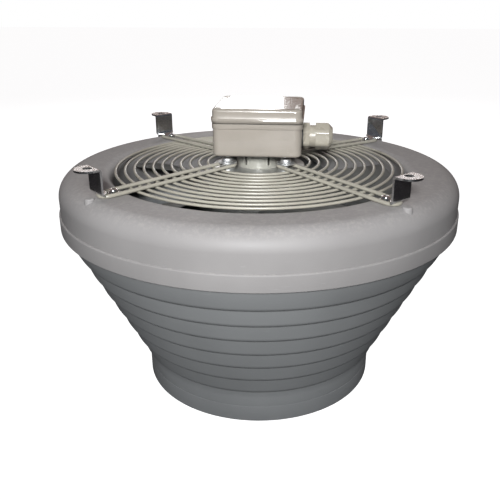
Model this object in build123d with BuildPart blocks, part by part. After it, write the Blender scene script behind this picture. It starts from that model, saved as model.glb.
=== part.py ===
from build123d import *

import os
from math import cos, radians, sin, sqrt

# Exhaust hood fan: a ducted axial fan with an external-rotor motor, hung under
# a hood on four brackets.  Millimetres, +Z up.  The origin is the centre of the
# outlet's lower edge, the motor turns about Z, and +X points to the cable gland.

# ---------------------------------------------------------------- housing
drum_radius = 221.5        # outside of the drum wall
drum_top_z = 252.2         # flat annulus that the guard lies on
drum_height = 54.7         # from the joint with the cone up to the annulus
drum_roll = 20.0           # rounding between the annulus and the wall
band_proud = 1.7           # band round the foot of the drum, beyond the wall
band_height = 17.5
band_ramp = 1.2
wall = 3.0                 # moulded wall of the drum
throat_radius = 163.5      # inside of the inlet throat
mouth_roll = 12.0          # bell-mouth lip of the inlet
throat_depth = 47.0        # from the annulus down to the throat's free edge

cone_ledge = 1.7           # cone's top edge inside the drum wall
cone_wall = 3.3            # measured level, not square to the wall
groove_count = 7
groove_drop = 25.5         # first groove below the joint
groove_clear = 8.3         # last groove above the neck
groove_depth = 2.4
groove_height = 3.0
groove_blend = 1.2
groove_lip = 1.0           # least that a groove's floor stands proud of the neck
spigot_height = 14.0       # cone rim that plugs into the drum
spigot_fit = 0.2

outlet_radius = 136.2
neck_step = 0.34           # funnel's foot outside the neck
neck_height = 13.0
collar_height = 19.3
collar_plug = 11.5         # collar rim that plugs into the neck
collar_plug_wall = 2.3
collar_edge = 1.4

# ---------------------------------------------------------------- motor, fixed side
stator_radius = 43.5
stator_stack = 30.0
stator_rise = 20.0         # core above the can's floor
slot_count = 12
slot_width = 7.0
slot_root = 25.0
slot_mouth = 2.6
tooth_tip = 3.0
winding_height = 9.0
winding_gap = 0.3
air_gap = 0.6

flange_lip = 1.0           # flange beyond the rotor can
flange_thickness = 4.0
flange_rise = 1.0          # flange's top above the annulus
flange_edge = 1.2
lug_radius = 8.5
lug_inset = 7.0            # lug centres inside the flange's edge
motor_screw_thread = 6.0
motor_head_radius = 6.3
motor_head_height = 4.6
motor_washer_radius = 10.0
motor_washer_thickness = 1.5

bearing_bore = 10.0        # 6000-size ball bearings
bearing_outside = 26.0
bearing_width = 8.0
ball_size = 4.76
ball_count = 7
race_gap = 1.7             # inner ring to pitch circle, and pitch circle to outer ring
race_fit = 0.06
cage_half = 0.7
cage_height = 6.2
upper_bearing_drop = 5.2   # top of the upper bearing below the flange
lower_bearing_rise = 14.0  # lower bearing above the can's floor
tube_wall = 3.0
tube_overhang = 2.5        # tube below the lower bearing
tube_shoulder = 1.0
preload_width = 2.4
preload_thickness = 1.5

# ---------------------------------------------------------------- motor, turning side
ring_thickness = 4.4       # cast cage between the air gap and the can
ring_overlap = 2.0         # cage beyond each end of the stator core
can_wall = 2.5
can_clear = 11.2           # can's rim below the flange
can_depth = 62.0
can_boss = 9.0
can_boss_height = 7.0
shaft_overrun = 3.0        # shaft above the upper bearing
shaft_chamfer = 0.6
clip_groove_depth = 0.5
clip_thickness = 1.0
clip_play = 0.1
clip_reach = 1.8           # circlip beyond the shaft
clip_opening = 2.4

# ---------------------------------------------------------------- finger guard
spoke_count = 4
spoke_wire = 4.0
spoke_pitch = 16.8         # between the two wires of one spoke
spoke_inset = 11.5         # outer loop's centre inside the annulus's outer edge
spoke_fall = 0.035         # drop per millimetre towards the rim
ring_count = 11
ring_inset = 3.5           # outer ring inside the throat
ring_clear = 2.8           # inner ring beyond the motor washers
ring_wire = 3.0
weld_bite = 0.15

# ---------------------------------------------------------------- brackets
sheet = 2.0
bracket_width = 25.0
bracket_gap = 1.0          # upright's inner face beyond the spoke's loop
bracket_rise = 26.0        # from the foot's underside to the flange's top
flange_hole_gap = 8.1      # fixing hole's centre beyond the upright's inner face
flange_bore = 9.0
foot_clear = 0.1           # bracket over the spoke's wire
foot_gap = 1.6             # foot's edge to the spoke's wires
step_gap = 2.8             # step to the end of the spoke's loop
step_run = 4.1
step_lean = 1.0            # step's upper face nearer the axis than its lower face
foot_screw_gap = 6.3       # screw to the foot of the step
foot_end = 6.7             # screw to the foot's rounded end
bend = 2.4
same_place = 0.05          # nearer than this is the same edge
screw_thread = 5.0
screw_fit = 0.15
bracket_head_radius = 4.6
bracket_head_height = 3.2
bracket_screw_length = 12.0
bracket_washer_radius = 5.0
bracket_washer_thickness = 1.0
insert_radius = 3.9
insert_depth = 12.0
boss_radius = 8.0
boss_depth = 14.0
stop_gap = 2.2             # moulded stop behind each upright
stop_size = 5.0
stop_height = 1.8

# Recess and rounding of a pan head, as shares of the head's own size.
head_dome = 0.6
recess_length = 0.9
recess_width = 0.2
recess_depth = 0.4

# ---------------------------------------------------------------- impeller
hub_wall = 3.5
hub_floor = 3.0
hub_window = 20.0
hub_rim_drop = 1.0         # hub's rim below the can's rim
hub_edge = 2.0
blade_count = 5
tip_gap = 6.0              # blade tip to throat
blade_thickness = 3.2
blade_rise = 39.0          # middle of the blades above the can's floor
blade_root_depth = 12.0    # first section inside the hub
blade_tip_over = 3.0       # last section beyond the trimmed tip
root_chord = 58.0
tip_chord = 158.0
root_pitch = 38.0          # degrees out of the plane of rotation
tip_pitch = 17.5
mid_pitch_sag = 3.0        # middle section flatter than halfway
root_camber = 5.0
tip_camber = 9.0
impeller_screw_circle = 34.0
impeller_screw_count = 4
impeller_screw_radius = 2.0
impeller_head_radius = 3.8
impeller_head_height = 2.6
impeller_head_edge = 1.2

# ---------------------------------------------------------------- terminal box
box_shift = 1.5            # box centre towards the gland
box_width = 94.0
box_depth = 95.5
box_height = 34.5
box_wall = 2.5
box_corner = 7.0
box_band = 5.0             # raised band under the rim
box_band_proud = 0.9
box_foot_round = 3.0
gasket_height = 0.8
gasket_width = 2.0
lid_height = 14.9
lid_overhang = 0.8
lid_lip = 2.2
lid_lip_inset = 0.5
lid_bead_top = 5.3
lid_face_inset = 1.4
lid_round = 3.2
pedestal_height = 18.6
pedestal_radius = 25.2
pedestal_wall = 2.5
vent_count = 6
vent_width = 2.5
vent_height = 15.0
post_radius = 3.0
post_inset = 2.3           # post centres inside the pedestal's inner face
post_angles = [90, 210, 330]
box_screw_radius = 1.5
box_head_radius = 2.8
box_head_height = 1.8
box_head_edge = 0.9
wire_window = 16.0
lid_post_radius = 4.5
lid_post_inset = 6.0
lid_screw_radius = 1.6
lid_screw_fit = 0.1
lid_screw_head = 3.2
lid_screw_head_height = 2.4
lid_screw_head_edge = 1.0
lid_screw_length = 26.0
lid_recess_fit = 0.4
lid_recess_depth = 1.0     # screw heads below the lid's face
lid_slot_length = 3.84
lid_slot_width = 0.8
lid_slot_depth = 1.2

capacitor_radius = 14.0
capacitor_length = 50.0
capacitor_edge = 1.5
capacitor_gap = 4.25       # clip to the box wall
capacitor_x = -4.0
clip_sheet = 1.0
clip_width = 12.0
clip_mouth = 22.4          # open top of the spring clip
block_length = 44.0
block_width = 14.0
block_height = 15.0
block_edge = 1.0
block_x = -2.0
block_gap = 7.25           # terminal block to the box wall
terminal_count = 4
terminal_screw_radius = 2.2
terminal_well_depth = 6.0
terminal_screw_height = 4.0
terminal_slot_length = 5.0
terminal_slot_width = 0.8
terminal_fit = 0.2
entry_rise = 5.0           # wire entries above the box floor
entry_fit = 0.6
entry_depth = 4.0
earth_inset = 32.0         # earth screw from the box centre
earth_y = 10.0
earth_base_radius = 4.5
earth_base_height = 3.0
earth_head_radius = 3.4
earth_head_height = 2.6
earth_slot_width = 0.9
slot_depth = 1.0           # screwdriver slots inside the box

# ---------------------------------------------------------------- cable gland
gland_rise = 14.0          # gland's axis above the box's underside
gland_thread = 20.0
gland_flats = 27.0
gland_round = 14.7
gland_washer = 1.0
gland_hex = 7.0
gland_neck_radius = 12.0
gland_neck = 6.5
gland_nut = 18.9
gland_nut_cone = 5.0
gland_nut_lip = 1.2
nut_fit = 0.06
gland_mouth = 8.2
gland_bore = 7.5
gland_seal_bore = 6.5
gland_seal_length = 12.0
gland_seal_wall = 4.0
gland_seal_proud = 2.0     # seal beyond the body's end
gland_boss = 13.5
gland_boss_depth = 5.0

# ---------------------------------------------------------------- leads
lead_radius = 2.2
lead_hole = 2.6
lead_inset = 3.4           # lead's centre inside the pedestal's inner face
lead_start = 30.0          # where the lead leaves the coils
lead_bend = 4.0
core_count = 3
core_radius = 0.8
core_pitch = 1.7           # between cores where they leave the sheath
core_rise = 4.0            # lowest core above the sheath's end
core_spread = 1.9
core_bend = 1.8
core_drop = 8.0            # where the cores turn down, before the block
core_level = 5.0           # where they turn level, before the block
core_entry = 3.0           # into the block

over_cut = 1.0             # cutting tool beyond the face that it leaves through

# Heights and radii that follow from the sizes above.
seam_z = drum_top_z - drum_height
drum_inner = drum_radius - wall
shoulder_radius = drum_radius - drum_roll
band_radius = drum_radius + band_proud
cone_top_radius = drum_radius - cone_ledge
neck_top_z = collar_height + neck_height
cone_slope = (cone_top_radius - outlet_radius - neck_step) / (seam_z - neck_top_z)
first_groove_z = seam_z - groove_drop
groove_pitch = (first_groove_z - neck_top_z - groove_clear) / (groove_count - 1)
outlet_bore = outlet_radius - cone_wall - collar_plug_wall

flange_top_z = drum_top_z + flange_rise
flange_low_z = flange_top_z - flange_thickness
can_top_z = flange_low_z - can_clear
can_floor_z = can_top_z - can_depth
can_inner = stator_radius + air_gap + ring_thickness
can_radius = can_inner + can_wall
flange_radius = can_radius + flange_lip
upper_bearing_z = flange_low_z - upper_bearing_drop - bearing_width
lower_bearing_z = can_floor_z + lower_bearing_rise
tube_foot_z = lower_bearing_z - tube_overhang
tube_radius = bearing_outside / 2 + tube_wall
stator_z = can_floor_z + stator_rise
shaft_radius = bearing_bore / 2
shaft_top_z = upper_bearing_z + bearing_width + shaft_overrun
ball_circle = (bearing_bore + bearing_outside) / 4
blade_tip = throat_radius - tip_gap
blade_level = can_floor_z + blade_rise

spoke_angles = [45 + 360 / spoke_count * turn for turn in range(spoke_count)]
spoke_radius = spoke_wire / 2
spoke_inner = flange_radius - lug_inset
spoke_outer = shoulder_radius - spoke_inset
loop_end = spoke_outer + spoke_pitch / 2
spoke_low_z = drum_top_z + spoke_radius
ring_outer = throat_radius - ring_inset
ring_inner = spoke_inner + motor_washer_radius + ring_clear
ring_pitch = (ring_outer - ring_inner) / (ring_count - 1)


def spoke_z(radius):
    """Height of a spoke's centre line at this distance from the axis."""
    return spoke_low_z + spoke_fall * (loop_end - radius)


bracket_face = loop_end + bracket_gap
flange_hole = bracket_face + flange_hole_gap
stop_radius = bracket_face + sheet + stop_gap + stop_size
foot_half_width = spoke_pitch / 2 - spoke_radius - foot_gap
foot_step_outer = loop_end - spoke_radius - step_gap
foot_step_inner = foot_step_outer - step_run
foot_screw = foot_step_inner - foot_screw_gap
foot_tip = foot_screw - foot_end
foot_low_z = spoke_z(foot_step_outer) + spoke_radius + foot_clear
lug_top_z = spoke_z(spoke_inner + motor_washer_radius) - spoke_radius
washer_z = spoke_z(spoke_inner - motor_washer_radius) + spoke_radius
box_floor_z = flange_top_z + pedestal_height
box_inner_floor_z = box_floor_z + box_wall
box_rim_z = box_floor_z + box_height
lid_z = box_rim_z + gasket_height
lid_top_z = lid_z + lid_height
post_circle = pedestal_radius - pedestal_wall - post_inset
lead_circle = pedestal_radius - pedestal_wall - lead_inset
capacitor_y = capacitor_gap + clip_sheet + capacitor_radius + box_wall - box_depth / 2
block_y = box_depth / 2 - box_wall - block_gap - block_width / 2
gland_z = box_floor_z + gland_rise
gland_face_x = box_shift + box_width / 2
gland_hex_x = gland_face_x + gland_washer
gland_neck_x = gland_hex_x + gland_hex
gland_nut_x = gland_neck_x + gland_neck
gland_end_x = gland_nut_x + gland_nut

os.makedirs("parts", exist_ok=True)


def save(piece, name):
    """Label a finished sub-part and write it as one STEP file."""
    piece.part.label = name
    export_step(piece.part, f"parts/{name}.step")


def polar(radius, angle, z=0.0):
    """Point at a radius and angle round the motor axis."""
    return Vector(radius * cos(radians(angle)), radius * sin(radians(angle)), z)


def ring(inner, outer, low, high):
    """Plain ring about Z between two heights."""
    with BuildPart() as body:
        with BuildSketch(Plane.XY.offset(low)):
            Circle(outer)
            Circle(inner, mode=Mode.SUBTRACT)
        extrude(amount=high - low)
    return body


# ---------------------------------------------------------------- drum housing
# Inlet side of the casing: bell mouth, flat annulus, rolled shoulder, wall and band.
def drum_profile():
    """Half section of the drum in the XZ plane, inner throat to outer band."""
    lip_z = drum_top_z - mouth_roll
    lip_x = throat_radius + mouth_roll
    shoulder_z = drum_top_z - drum_roll
    low_throat_z = drum_top_z - throat_depth
    band_top_z = seam_z + band_height
    Line((throat_radius, low_throat_z), (throat_radius, lip_z))
    RadiusArc((throat_radius, lip_z), (lip_x, drum_top_z), mouth_roll)
    Line((lip_x, drum_top_z), (shoulder_radius, drum_top_z))
    RadiusArc((shoulder_radius, drum_top_z), (drum_radius, shoulder_z), drum_roll)
    Line((drum_radius, shoulder_z), (drum_radius, band_top_z))
    Line((drum_radius, band_top_z), (band_radius, band_top_z - band_ramp))
    Line((band_radius, band_top_z - band_ramp), (band_radius, seam_z + band_ramp))
    Line((band_radius, seam_z + band_ramp), (band_radius - band_ramp, seam_z))
    Line((band_radius - band_ramp, seam_z), (drum_inner, seam_z))
    Line((drum_inner, seam_z), (drum_inner, shoulder_z))
    RadiusArc((drum_inner, shoulder_z), (shoulder_radius, drum_top_z - wall), -(drum_roll - wall))
    Line((shoulder_radius, drum_top_z - wall), (lip_x, drum_top_z - wall))
    RadiusArc((lip_x, drum_top_z - wall), (throat_radius + wall, lip_z), -(mouth_roll - wall))
    Line((throat_radius + wall, lip_z), (throat_radius + wall, low_throat_z))
    Line((throat_radius + wall, low_throat_z), (throat_radius, low_throat_z))


with BuildPart() as drum_housing:
    with BuildSketch(Plane.XZ):
        with BuildLine():
            drum_profile()
        make_face()
    revolve(axis=Axis.Z)
    with BuildSketch(Plane.XY.offset(drum_top_z - boss_depth)):
        with PolarLocations(foot_screw, spoke_count, start_angle=spoke_angles[0]):
            Circle(boss_radius)
    extrude(amount=boss_depth - wall / 2)
    with BuildSketch(Plane.XY.offset(drum_top_z - drum_roll / 2)):
        with PolarLocations(stop_radius, spoke_count, start_angle=spoke_angles[0]):
            Circle(stop_size)
    extrude(amount=drum_roll / 2 + stop_height)
    stop_tops = drum_housing.faces().filter_by(Plane.XY).group_by(Axis.Z)[-1]
    fillet(stop_tops.edges(), radius=stop_height / 2)
    with BuildSketch(Plane.XY.offset(drum_top_z)):
        with PolarLocations(foot_screw, spoke_count, start_angle=spoke_angles[0]):
            Circle(insert_radius)
    extrude(amount=-insert_depth, mode=Mode.SUBTRACT)
save(drum_housing, "drum_housing")

# ---------------------------------------------------------------- cone housing
# Ribbed funnel from the drum down to the outlet, stepped in under every rib.


def cone_radius(z):
    """Outside radius of the funnel's straight envelope at a height."""
    return cone_top_radius - cone_slope * (seam_z - z)


def cone_points(inset):
    """Stepped funnel line from the seam to the neck, moved in by inset."""
    points = [(cone_top_radius - inset, seam_z)]
    for step in range(groove_count):
        groove_z = first_groove_z - step * groove_pitch
        crest_z = groove_z + groove_height / 2
        valley_z = groove_z - groove_height / 2
        points.append((cone_radius(crest_z) - inset, crest_z))
        valley_radius = max(cone_radius(valley_z) - groove_depth, outlet_radius + groove_lip)
        points.append((valley_radius - inset, valley_z))
    points.append((outlet_radius - inset, neck_top_z))
    points.append((outlet_radius - inset, collar_height))
    return points


with BuildPart() as cone_housing:
    with BuildSketch(Plane.XZ):
        with BuildLine():
            outside = FilletPolyline(*cone_points(0), radius=groove_blend)
            inside = FilletPolyline(*cone_points(cone_wall), radius=groove_blend)
            spigot_outer = drum_inner - spigot_fit
            spigot_inner = cone_top_radius - cone_wall
            Polyline(outside @ 0, (spigot_outer, seam_z), (spigot_outer, seam_z + spigot_height),
                     (spigot_inner, seam_z + spigot_height), inside @ 0)
            Line(outside @ 1, inside @ 1)
        make_face()
    revolve(axis=Axis.Z)
save(cone_housing, "cone_housing")

# Ring that closes the neck and takes the duct.
with BuildPart() as outlet_collar:
    with BuildSketch(Plane.XZ):
        with BuildLine():
            plug_radius = outlet_radius - cone_wall
            plug_z = collar_height + collar_plug
            Polyline((outlet_bore, 0), (outlet_radius, 0), (outlet_radius, collar_height),
                     (plug_radius, collar_height), (plug_radius, plug_z), (outlet_bore, plug_z),
                     (outlet_bore, 0))
        make_face()
    revolve(axis=Axis.Z)
    fillet(outlet_collar.edges().filter_by(GeomType.CIRCLE).group_by(Axis.Z)[0].sort_by(
        SortBy.RADIUS)[-1], radius=collar_edge)
save(outlet_collar, "outlet_collar")

# Brass inserts moulded into the drum for the bracket screws.
with BuildPart() as bracket_inserts:
    with BuildSketch(Plane.XY.offset(drum_top_z)):
        with PolarLocations(foot_screw, spoke_count, start_angle=spoke_angles[0]):
            Circle(insert_radius)
            Circle(screw_thread / 2, mode=Mode.SUBTRACT)
    extrude(amount=-insert_depth)
save(bracket_inserts, "bracket_inserts")

# ---------------------------------------------------------------- finger guard
# Eleven rings welded under four hairpin spokes that fall slightly to the rim.
with BuildPart() as guard_spokes:
    for angle in spoke_angles:
        start = polar(spoke_inner, angle, spoke_z(spoke_inner))
        along = polar(1, angle, -spoke_fall)
        side = polar(1, angle + 90)
        spoke_plane = Plane(origin=start, x_dir=along, z_dir=along.cross(side))
        run = (spoke_outer - spoke_inner) * sqrt(1 + spoke_fall**2)
        half = spoke_pitch / 2
        with BuildLine(spoke_plane) as loop:
            Line((run / 2, -half), (run, -half))
            ThreePointArc((run, -half), (run + half, 0), (run, half))
            Line((run, half), (0, half))
            ThreePointArc((0, half), (-half, 0), (0, -half))
            Line((0, -half), (run / 2, -half))
        with BuildSketch(Plane(origin=loop.line @ 0, z_dir=loop.line % 0)):
            Circle(spoke_radius)
        sweep(path=loop.line)
save(guard_spokes, "guard_spokes")

with BuildPart() as guard_rings:
    for number in range(ring_count):
        hoop = ring_outer - number * ring_pitch
        hoop_z = spoke_z(hoop) - spoke_radius - ring_wire / 2 + weld_bite
        with BuildSketch(Plane.XZ):
            with Locations((hoop, hoop_z)):
                Circle(ring_wire / 2)
        revolve(axis=Axis.Z)
save(guard_rings, "guard_rings")

# ---------------------------------------------------------------- brackets
# Z-shaped zinc-plated straps.  The foot steps down through the spoke's end loop
# on to the drum, the upright stands behind it, and the flange takes the hood.
flange_top = foot_low_z + bracket_rise
flange_tip = flange_hole + bracket_width / 2


def make_bracket(angle):
    """One bracket, standing at the given angle round the drum."""
    radial = Plane(origin=(0, 0, 0), x_dir=polar(1, angle), z_dir=polar(1, angle - 90))
    level = Plane(origin=(0, 0, 0), x_dir=polar(1, angle), z_dir=(0, 0, 1))
    outer_face = bracket_face + sheet
    half = bracket_width / 2
    foot_corner = foot_step_outer - step_lean
    foot_round = foot_tip + foot_half_width
    wide_from = bracket_face - step_lean
    with BuildPart() as body:
        with BuildSketch(radial):
            with BuildLine():
                Polyline(
                    (foot_tip, drum_top_z), (foot_step_inner, drum_top_z),
                    (foot_step_outer, foot_low_z), (outer_face, foot_low_z),
                    (outer_face, flange_top - sheet), (flange_tip, flange_top - sheet),
                    (flange_tip, flange_top), (bracket_face, flange_top),
                    (bracket_face, foot_low_z + sheet), (foot_corner, foot_low_z + sheet),
                    (foot_step_inner - step_lean, drum_top_z + sheet), (foot_tip, drum_top_z + sheet),
                    (foot_tip, drum_top_z),
                )
            make_face()
        extrude(amount=half, both=True)
        bends = body.edges().filter_by(lambda edge: abs(edge.length - bracket_width) < same_place)
        outer_bends = [edge for edge in bends if is_bend(edge, angle, outer_face, foot_low_z)
                       or is_bend(edge, angle, bracket_face, flange_top)]
        fillet(outer_bends, radius=bend)
        with BuildSketch(level.offset(drum_top_z)):
            with BuildLine():
                Polyline((foot_round, foot_half_width), (foot_corner, foot_half_width),
                         (wide_from, half), (flange_hole, half))
                ThreePointArc((flange_hole, half), (flange_tip, 0), (flange_hole, -half))
                Polyline((flange_hole, -half), (wide_from, -half), (foot_corner, -foot_half_width),
                         (foot_round, -foot_half_width))
                ThreePointArc((foot_round, -foot_half_width), (foot_tip, 0), (foot_round, foot_half_width))
            make_face()
        extrude(amount=flange_top + sheet - drum_top_z, mode=Mode.INTERSECT)
        with BuildSketch(level.offset(drum_top_z)):
            with Locations((foot_screw, 0)):
                Circle(screw_thread / 2 + screw_fit)
        extrude(amount=sheet, mode=Mode.SUBTRACT)
        with BuildSketch(level.offset(flange_top)):
            with Locations((flange_hole, 0)):
                Circle(flange_bore / 2)
        extrude(amount=-sheet, mode=Mode.SUBTRACT)
    return body


def is_bend(edge, angle, radius, z):
    """True for the straight edge that crosses a bracket at this radius and height."""
    return (edge.center() - polar(radius, angle, z)).length < same_place


bracket_names = ["bracket_rear_gland", "bracket_rear", "bracket_front", "bracket_front_gland"]
for name, angle in zip(bracket_names, spoke_angles):
    save(make_bracket(angle), name)


def screw_group(radius, count, start, seat_z, shank, length, head, head_height):
    """Ring of pan-head screws whose heads sit at seat_z."""
    with BuildPart() as body:
        with BuildSketch(Plane.XY.offset(seat_z - length)):
            with PolarLocations(radius, count, start_angle=start):
                Circle(shank)
        extrude(amount=length)
        with BuildSketch(Plane.XY.offset(seat_z)):
            with PolarLocations(radius, count, start_angle=start):
                Circle(head)
        extrude(amount=head_height)
        top = body.faces().filter_by(Plane.XY).group_by(Axis.Z)[-1]
        fillet(top.edges(), radius=head_height * head_dome)
        with BuildSketch(Plane.XY.offset(seat_z + head_height)):
            with PolarLocations(radius, count, start_angle=start):
                Rectangle(head * recess_length, head * recess_width)
                Rectangle(head * recess_width, head * recess_length)
        extrude(amount=-head_height * recess_depth, mode=Mode.SUBTRACT)
    return body


bracket_washer_z = drum_top_z + sheet
bracket_screw_z = bracket_washer_z + bracket_washer_thickness
save(screw_group(foot_screw, spoke_count, spoke_angles[0], bracket_screw_z, screw_thread / 2,
                 bracket_screw_length, bracket_head_radius, bracket_head_height), "bracket_screws")

with BuildPart() as bracket_washers:
    with BuildSketch(Plane.XY.offset(bracket_washer_z)):
        with PolarLocations(foot_screw, spoke_count, start_angle=spoke_angles[0]):
            Circle(bracket_washer_radius)
            Circle(screw_thread / 2 + screw_fit, mode=Mode.SUBTRACT)
    extrude(amount=bracket_washer_thickness)
save(bracket_washers, "bracket_washers")

# ---------------------------------------------------------------- motor, fixed side
# Die-cast flange with four lugs, and the bearing tube that hangs from it.
with BuildPart() as motor_flange:
    with BuildSketch(Plane.XY.offset(flange_low_z)):
        Circle(flange_radius)
    extrude(amount=flange_thickness)
    fillet(motor_flange.edges().filter_by(GeomType.CIRCLE).group_by(Axis.Z)[-1],
           radius=flange_edge)
    with BuildSketch(Plane.XY.offset(flange_low_z)):
        with PolarLocations(spoke_inner, spoke_count, start_angle=spoke_angles[0]):
            Circle(lug_radius)
    extrude(amount=lug_top_z - flange_low_z)
    with BuildSketch(Plane.XY.offset(tube_foot_z)):
        Circle(tube_radius)
    extrude(amount=flange_low_z - tube_foot_z)
    seat = bearing_outside / 2
    bore_spans = [(seat, tube_foot_z, lower_bearing_z + bearing_width + preload_thickness),
                  (seat - tube_shoulder, tube_foot_z, flange_top_z),
                  (seat, upper_bearing_z, flange_top_z)]
    for radius, low, high in bore_spans:
        with BuildSketch(Plane.XY.offset(low)):
            Circle(radius)
        extrude(amount=high - low, mode=Mode.SUBTRACT)
    with BuildSketch(Plane.XY.offset(flange_low_z)):
        with PolarLocations(spoke_inner, spoke_count, start_angle=spoke_angles[0]):
            Circle(motor_screw_thread / 2)
        with Locations((lead_circle, 0)):
            Circle(lead_hole)
        with Locations(*[polar(post_circle, angle) for angle in post_angles]):
            Circle(box_screw_radius)
    extrude(amount=lug_top_z - flange_low_z, mode=Mode.SUBTRACT)
save(motor_flange, "motor_flange")

motor_screw_z = washer_z + motor_washer_thickness
save(screw_group(spoke_inner, spoke_count, spoke_angles[0], motor_screw_z, motor_screw_thread / 2,
                 motor_screw_z - flange_low_z, motor_head_radius, motor_head_height), "motor_screws")

with BuildPart() as motor_washers:
    with BuildSketch(Plane.XY.offset(washer_z)):
        with PolarLocations(spoke_inner, spoke_count, start_angle=spoke_angles[0]):
            Circle(motor_washer_radius)
            Circle(motor_screw_thread / 2 + screw_fit, mode=Mode.SUBTRACT)
    extrude(amount=motor_washer_thickness)
save(motor_washers, "motor_washers")

# Laminated stator on the tube, with open slots for the coils.
slot_end = stator_radius - tooth_tip
with BuildPart() as stator_core:
    with BuildSketch(Plane.XY.offset(stator_z)):
        Circle(stator_radius)
        Circle(tube_radius, mode=Mode.SUBTRACT)
        with PolarLocations((slot_root + slot_end) / 2, slot_count):
            Rectangle(slot_end - slot_root, slot_width, mode=Mode.SUBTRACT)
        with PolarLocations(stator_radius - tooth_tip / 2, slot_count):
            Rectangle(tooth_tip + 2 * over_cut, slot_mouth, mode=Mode.SUBTRACT)
    extrude(amount=stator_stack)
save(stator_core, "stator_core")

with BuildPart() as stator_windings:
    with BuildSketch(Plane.XY.offset(stator_z - winding_height)):
        with PolarLocations((slot_root + slot_end) / 2, slot_count):
            Rectangle(slot_end - slot_root - 2 * winding_gap, slot_width - 2 * winding_gap)
    extrude(amount=stator_stack + 2 * winding_height)
    for low in (stator_z - winding_height, stator_z + stator_stack + winding_gap):
        with BuildSketch(Plane.XY.offset(low)):
            Circle(slot_end - winding_gap)
            Circle(slot_root + winding_gap, mode=Mode.SUBTRACT)
        extrude(amount=winding_height - winding_gap)
save(stator_windings, "stator_windings")

# ---------------------------------------------------------------- bearings
groove_radius = ball_size / 2 + race_fit
cage_outer = ball_circle + cage_half
cage_inner = ball_circle - cage_half


def make_race(low, inner, outer):
    """Bearing ring with the ball groove cut in the side that faces the balls."""
    with BuildPart() as body:
        with BuildSketch(Plane.XZ):
            with Locations(((inner + outer) / 2, low + bearing_width / 2)):
                Rectangle(outer - inner, bearing_width)
            with Locations((ball_circle, low + bearing_width / 2)):
                Circle(groove_radius, mode=Mode.SUBTRACT)
        revolve(axis=Axis.Z)
    return body


def make_balls(low):
    """Ring of separate balls at the bearing's middle height."""
    with BuildPart() as body:
        with Locations(Plane.XY.offset(low + bearing_width / 2)):
            with PolarLocations(ball_circle, ball_count):
                Sphere(ball_size / 2)
    return body


def make_cage(low):
    """Thin cage ring with one round pocket for every ball."""
    middle = low + bearing_width / 2
    with BuildPart() as body:
        with BuildSketch(Plane.XY.offset(middle - cage_height / 2)):
            Circle(cage_outer)
            Circle(cage_inner, mode=Mode.SUBTRACT)
        extrude(amount=cage_height)
        for number in range(ball_count):
            outward = polar(1, number * 360 / ball_count)
            with BuildSketch(Plane(origin=(0, 0, middle), z_dir=outward)):
                Circle(ball_size / 2 + race_fit)
            extrude(amount=ball_circle + 2 * cage_half, mode=Mode.SUBTRACT)
    return body


for place, low in (("upper", upper_bearing_z), ("lower", lower_bearing_z)):
    save(make_race(low, bearing_bore / 2, ball_circle - race_gap), f"{place}_bearing_inner")
    save(make_race(low, ball_circle + race_gap, bearing_outside / 2), f"{place}_bearing_outer")
    save(make_balls(low), f"{place}_bearing_balls")
    save(make_cage(low), f"{place}_bearing_cage")

washer_low = lower_bearing_z + bearing_width
save(ring(bearing_outside / 2 - preload_width, bearing_outside / 2 - race_fit, washer_low,
          washer_low + preload_thickness), "preload_washer")

# ---------------------------------------------------------------- motor, turning side
clip_z = upper_bearing_z + bearing_width
clip_groove = shaft_radius - clip_groove_depth
with BuildPart() as shaft:
    with BuildSketch(Plane.XY.offset(can_floor_z)):
        Circle(shaft_radius)
    extrude(amount=shaft_top_z - can_floor_z)
    chamfer(shaft.edges().filter_by(GeomType.CIRCLE).group_by(Axis.Z)[-1], length=shaft_chamfer)
    with BuildSketch(Plane.XY.offset(clip_z)):
        Circle(shaft_radius + over_cut)
        Circle(clip_groove, mode=Mode.SUBTRACT)
    extrude(amount=clip_thickness + clip_play, mode=Mode.SUBTRACT)
save(shaft, "shaft")

with BuildPart() as shaft_circlip:
    with BuildSketch(Plane.XY.offset(clip_z)):
        Circle(shaft_radius + clip_reach)
        Circle(clip_groove, mode=Mode.SUBTRACT)
        with Locations((shaft_radius, 0)):
            Rectangle(2 * (clip_reach + over_cut), clip_opening, mode=Mode.SUBTRACT)
    extrude(amount=clip_thickness)
save(shaft_circlip, "shaft_circlip")

with BuildPart() as rotor_can:
    with BuildSketch(Plane.XY.offset(can_floor_z)):
        Circle(can_radius)
    extrude(amount=can_top_z - can_floor_z)
    with BuildSketch(Plane.XY.offset(can_floor_z + can_wall)):
        Circle(can_inner)
        Circle(can_boss, mode=Mode.SUBTRACT)
    extrude(amount=can_top_z - can_floor_z, mode=Mode.SUBTRACT)
    with BuildSketch(Plane.XY.offset(can_floor_z + can_wall + can_boss_height)):
        Circle(can_boss + over_cut)
    extrude(amount=can_top_z - can_floor_z, mode=Mode.SUBTRACT)
    with BuildSketch(Plane.XY.offset(can_floor_z)):
        Circle(shaft_radius)
        with PolarLocations(impeller_screw_circle, impeller_screw_count):
            Circle(impeller_screw_radius)
    extrude(amount=can_wall + can_boss_height, mode=Mode.SUBTRACT)
save(rotor_can, "rotor_can")

save(ring(stator_radius + air_gap, can_inner, stator_z - ring_overlap,
          stator_z + stator_stack + ring_overlap), "rotor_ring")


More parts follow.
